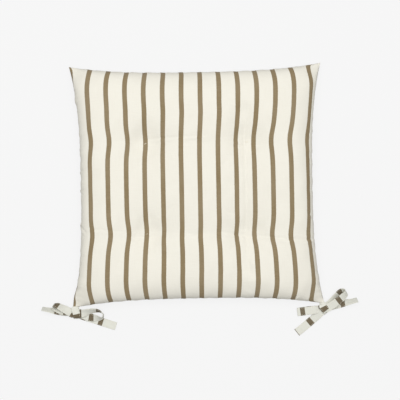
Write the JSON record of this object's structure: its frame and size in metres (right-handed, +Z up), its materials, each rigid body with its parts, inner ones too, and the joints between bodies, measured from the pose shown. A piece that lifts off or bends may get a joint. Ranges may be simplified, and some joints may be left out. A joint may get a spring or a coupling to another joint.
{
  "type": "tufted chair seat pad",
  "caption": "Square tufted seat pad in striped cotton with soft fibre filling and a tied bow at each rear corner that swings on its seam.",
  "frame": {"origin": "centre of the flat underside, at the middle of the pad's corner-to-corner outline, ties left out", "axes": "+X to the sitter's right along the rear edge, +Y towards the front of the chair, +Z up"},
  "size_m": [0.5043, 0.4347, 0.046],
  "materials": {
    "striped_cotton": "matte",
    "strap_cotton": "matte",
    "cotton_thread": "satin",
    "polyester_wadding": "matte"
  },
  "bodies": {
    "pad": {"top_panel": "striped_cotton", "bottom_panel": "striped_cotton", "filling": "polyester_wadding", "seam_thread": "cotton_thread", "closing_stitch": "cotton_thread", "tuft_thread_front_left": "cotton_thread", "tuft_thread_front_right": "cotton_thread", "tuft_thread_rear_left": "cotton_thread", "tuft_thread_rear_right": "cotton_thread", "left_tie_bartack": "cotton_thread", "right_tie_bartack": "cotton_thread"},
    "left_bow": {"left_tie_outer_strap": "strap_cotton", "left_tie_inner_strap": "strap_cotton"},
    "right_bow": {"right_tie_outer_strap": "strap_cotton", "right_tie_inner_strap": "strap_cotton"}
  },
  "joints": [
    {"name": "left_bow_swing", "type": "hinge", "parent": "pad", "child": "left_bow", "pos_m": [-0.2, -0.198, 0.0055], "axis": [-1, 0, 0], "range_deg": [-90, 100]},
    {"name": "right_bow_swing", "type": "hinge", "parent": "pad", "child": "right_bow", "pos_m": [0.2, -0.198, 0.0055], "axis": [-1, 0, 0], "range_deg": [-90, 100]}
  ]
}
